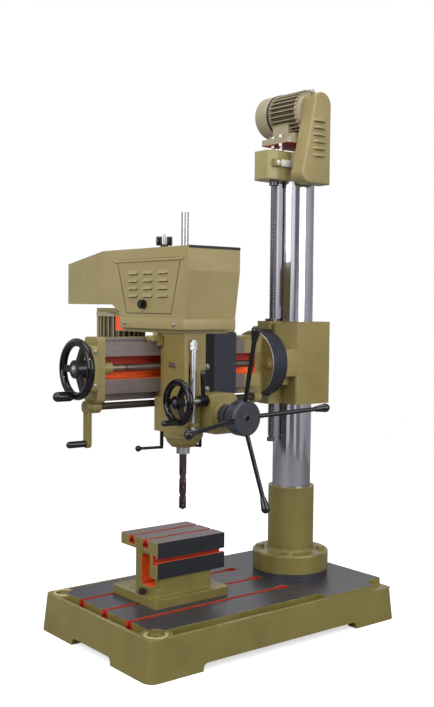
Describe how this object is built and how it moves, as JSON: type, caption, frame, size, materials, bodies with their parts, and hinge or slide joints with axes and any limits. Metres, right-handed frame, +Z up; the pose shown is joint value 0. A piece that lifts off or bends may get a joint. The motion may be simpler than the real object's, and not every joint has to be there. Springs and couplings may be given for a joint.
{
  "type": "radial arm drill",
  "caption": "Floor-standing universal radial arm drill: T-slotted base with box table, round column, power-lifted swivelling arm and a belt-driven head with a capstan-fed quill.",
  "frame": {"origin": "on the floor, at the centre of the four foundation bolt holes", "axes": "+Z up; +X along the base towards the column; -Y towards the drilling head and the operator"},
  "size_m": [1.0663, 0.7994, 1.618],
  "materials": {
    "green_paint": "satin",
    "motor_paint": "satin",
    "red_primer": "satin",
    "machined_iron": "machined",
    "steel": "ground",
    "black_metal": "gloss",
    "black_plastic": "gloss",
    "aluminium": "turned",
    "bronze": "turned",
    "belt_rubber": "matte"
  },
  "bodies": {
    "base": {"base_casting": "green_paint", "column_pedestal": "green_paint", "base_bolts": "steel", "column": "steel", "box_table": "green_paint"},
    "column_head": {"column_cap": "green_paint", "motor_plate": "red_primer", "motor_fixings": "steel", "lift_motor": "motor_paint", "lift_motor_cowl": "motor_paint", "lift_belt": "belt_rubber", "lift_guard": "green_paint"},
    "lift_motor_rotor": {"lift_motor_pulley": "aluminium"},
    "lift_cross": {"lift_cross_shaft": "steel", "lift_cross_pulley": "aluminium"},
    "lift_screw": {"lift_screw": "steel"},
    "carriage": {"arm_carriage": "green_paint", "lift_nut": "bronze"},
    "arm": {"arm_beam": "green_paint", "arm_end_plate": "green_paint", "leadscrew_cap": "green_paint", "swivel_bolts": "steel"},
    "arm_leadscrew": {"arm_leadscrew": "steel", "arm_handwheel": "black_plastic"},
    "arm_wheel_grip": {"arm_wheel_grip": "black_plastic"},
    "clamp_rod": {"clamp_rod": "green_paint"},
    "clamp_grip": {"clamp_grip": "black_plastic"},
    "head": {"head_casting": "green_paint", "saddle": "machined_iron", "saddle_lock": "green_paint", "gib_strip": "black_metal", "traverse_nut": "bronze", "motor_bracket": "red_primer", "main_motor": "motor_paint", "belt_cover": "green_paint", "hinge_pin": "steel", "cover_stud": "steel", "main_belt": "belt_rubber"},
    "main_motor_rotor": {"main_motor_pulley": "aluminium"},
    "spindle_pulley": {"spindle_pulley": "aluminium"},
    "cover_door": {"cover_door": "green_paint"},
    "door_knob": {"door_knob": "black_plastic"},
    "cover_knob": {"cover_knob": "black_metal"},
    "quill": {"quill": "steel", "depth_rod": "steel", "quill_bearing": "steel"},
    "spindle": {"spindle": "steel", "drill_bit": "steel"},
    "capstan": {"feed_shaft": "steel", "feed_dial": "steel", "capstan_hub": "black_metal", "capstan_levers": "black_metal", "capstan_knobs": "black_plastic"},
    "fine_feed": {"fine_worm_shaft": "steel", "fine_feed_wheel": "black_plastic"},
    "fine_wheel_grip": {"fine_wheel_grip": "black_plastic"},
    "feed_clutch": {"feed_clutch_lever": "black_metal"},
    "quill_lock": {"quill_lock_handle": "black_metal"},
    "head_lock": {"head_lock_handle": "black_metal"}
  },
  "joints": [
    {"name": "arm_swing", "type": "hinge", "parent": "base", "child": "column_head", "pos_m": [0.276, 0, 1.38], "axis": [0, 0, 1], "range_deg": [-180, 180]},
    {"name": "arm_lift", "type": "slide", "parent": "column_head", "child": "carriage", "axis": [0, 0, 1], "range_m": [-0.09, 0.4]},
    {"name": "lift_screw_turn", "type": "hinge", "parent": "column_head", "child": "lift_screw", "pos_m": [0.187, 0, 1], "axis": [0, 0, 1], "continuous": true},
    {"name": "lift_cross_turn", "type": "hinge", "parent": "column_head", "child": "lift_cross", "pos_m": [0.238, 0, 1.398], "axis": [0, 1, 0], "continuous": true},
    {"name": "lift_motor_turn", "type": "hinge", "parent": "column_head", "child": "lift_motor_rotor", "pos_m": [0.272, -0.09, 1.552], "axis": [0, 1, 0], "continuous": true},
    {"name": "arm_swivel", "type": "hinge", "parent": "carriage", "child": "arm", "pos_m": [0.13, 0, 0.781], "axis": [1, 0, 0], "range_deg": [-90, 40]},
    {"name": "head_traverse", "type": "slide", "parent": "arm", "child": "head", "axis": [1, 0, 0], "range_m": [-0.14, 0.09]},
    {"name": "leadscrew_turn", "type": "hinge", "parent": "arm", "child": "arm_leadscrew", "pos_m": [-0.3, -0.062, 0.785], "axis": [1, 0, 0], "continuous": true},
    {"name": "arm_wheel_grip_turn", "type": "hinge", "parent": "arm_leadscrew", "child": "arm_wheel_grip", "pos_m": [-0.58, -0.0559, 0.71527], "axis": [1, 0, 0], "continuous": true},
    {"name": "arm_clamp_turn", "type": "hinge", "parent": "arm", "child": "clamp_rod", "pos_m": [-0.2, -0.045, 0.683], "axis": [1, 0, 0], "range_deg": [-60, 60]},
    {"name": "clamp_grip_turn", "type": "hinge", "parent": "clamp_rod", "child": "clamp_grip", "pos_m": [-0.53, -0.045, 0.587], "axis": [1, 0, 0], "continuous": true},
    {"name": "quill_feed", "type": "slide", "parent": "head", "child": "quill", "axis": [0, 0, -1], "range_m": [0, 0.12]},
    {"name": "capstan_turn", "type": "hinge", "parent": "head", "child": "capstan", "pos_m": [-0.1975, -0.3, 0.662], "axis": [0, -1, 0], "range_deg": [-1, 247]},
    {"name": "fine_feed_turn", "type": "hinge", "parent": "head", "child": "fine_feed", "pos_m": [-0.3, -0.221, 0.701], "axis": [1, 0, 0], "continuous": true},
    {"name": "fine_wheel_grip_turn", "type": "hinge", "parent": "fine_feed", "child": "fine_wheel_grip", "pos_m": [-0.37, -0.23446, 0.65077], "axis": [1, 0, 0], "continuous": true},
    {"name": "feed_clutch_turn", "type": "hinge", "parent": "head", "child": "feed_clutch", "pos_m": [-0.25, -0.221, 0.701], "axis": [1, 0, 0], "range_deg": [0, 45]},
    {"name": "spindle_spin", "type": "hinge", "parent": "quill", "child": "spindle", "pos_m": [-0.2515, -0.135, 0.8], "axis": [0, 0, 1], "continuous": true},
    {"name": "spindle_pulley_turn", "type": "hinge", "parent": "head", "child": "spindle_pulley", "pos_m": [-0.2515, -0.135, 1], "axis": [0, 0, 1], "continuous": true},
    {"name": "main_motor_turn", "type": "hinge", "parent": "head", "child": "main_motor_rotor", "pos_m": [-0.222, 0.222, 1], "axis": [0, 0, 1], "continuous": true},
    {"name": "door_open", "type": "hinge", "parent": "head", "child": "cover_door", "pos_m": [-0.305, 0, 1.0756], "axis": [0, 1, 0], "range_deg": [0, 110]},
    {"name": "door_knob_turn", "type": "hinge", "parent": "cover_door", "child": "door_knob", "pos_m": [-0.305, -0.023, 0.9556], "axis": [1, 0, 0], "range_deg": [0, 90]},
    {"name": "cover_knob_turn", "type": "hinge", "parent": "head", "child": "cover_knob", "pos_m": [-0.22, 0.005, 1.12], "axis": [0, 0, 1], "continuous": true},
    {"name": "quill_lock_turn", "type": "hinge", "parent": "head", "child": "quill_lock", "pos_m": [-0.178, -0.115, 0.6], "axis": [0, 0, 1], "range_deg": [-75, 0]},
    {"name": "head_lock_turn", "type": "hinge", "parent": "head", "child": "head_lock", "pos_m": [-0.283, -0.079, 0.6], "axis": [0, 0, 1], "range_deg": [-35, 35]}
  ],
  "couplings": [
    {"joint": "lift_screw_turn", "follows": "arm_lift", "rad_per_m": 785.4},
    {"joint": "lift_cross_turn", "follows": "arm_lift", "rad_per_m": 1570.8},
    {"joint": "lift_motor_turn", "follows": "arm_lift", "rad_per_m": 2356.2},
    {"joint": "leadscrew_turn", "follows": "head_traverse", "rad_per_m": 628.32},
    {"joint": "capstan_turn", "follows": "quill_feed", "rad_per_m": 35.714},
    {"joint": "spindle_pulley_turn", "follows": "spindle_spin", "ratio": 1},
    {"joint": "main_motor_turn", "follows": "spindle_spin", "ratio": 1}
  ]
}
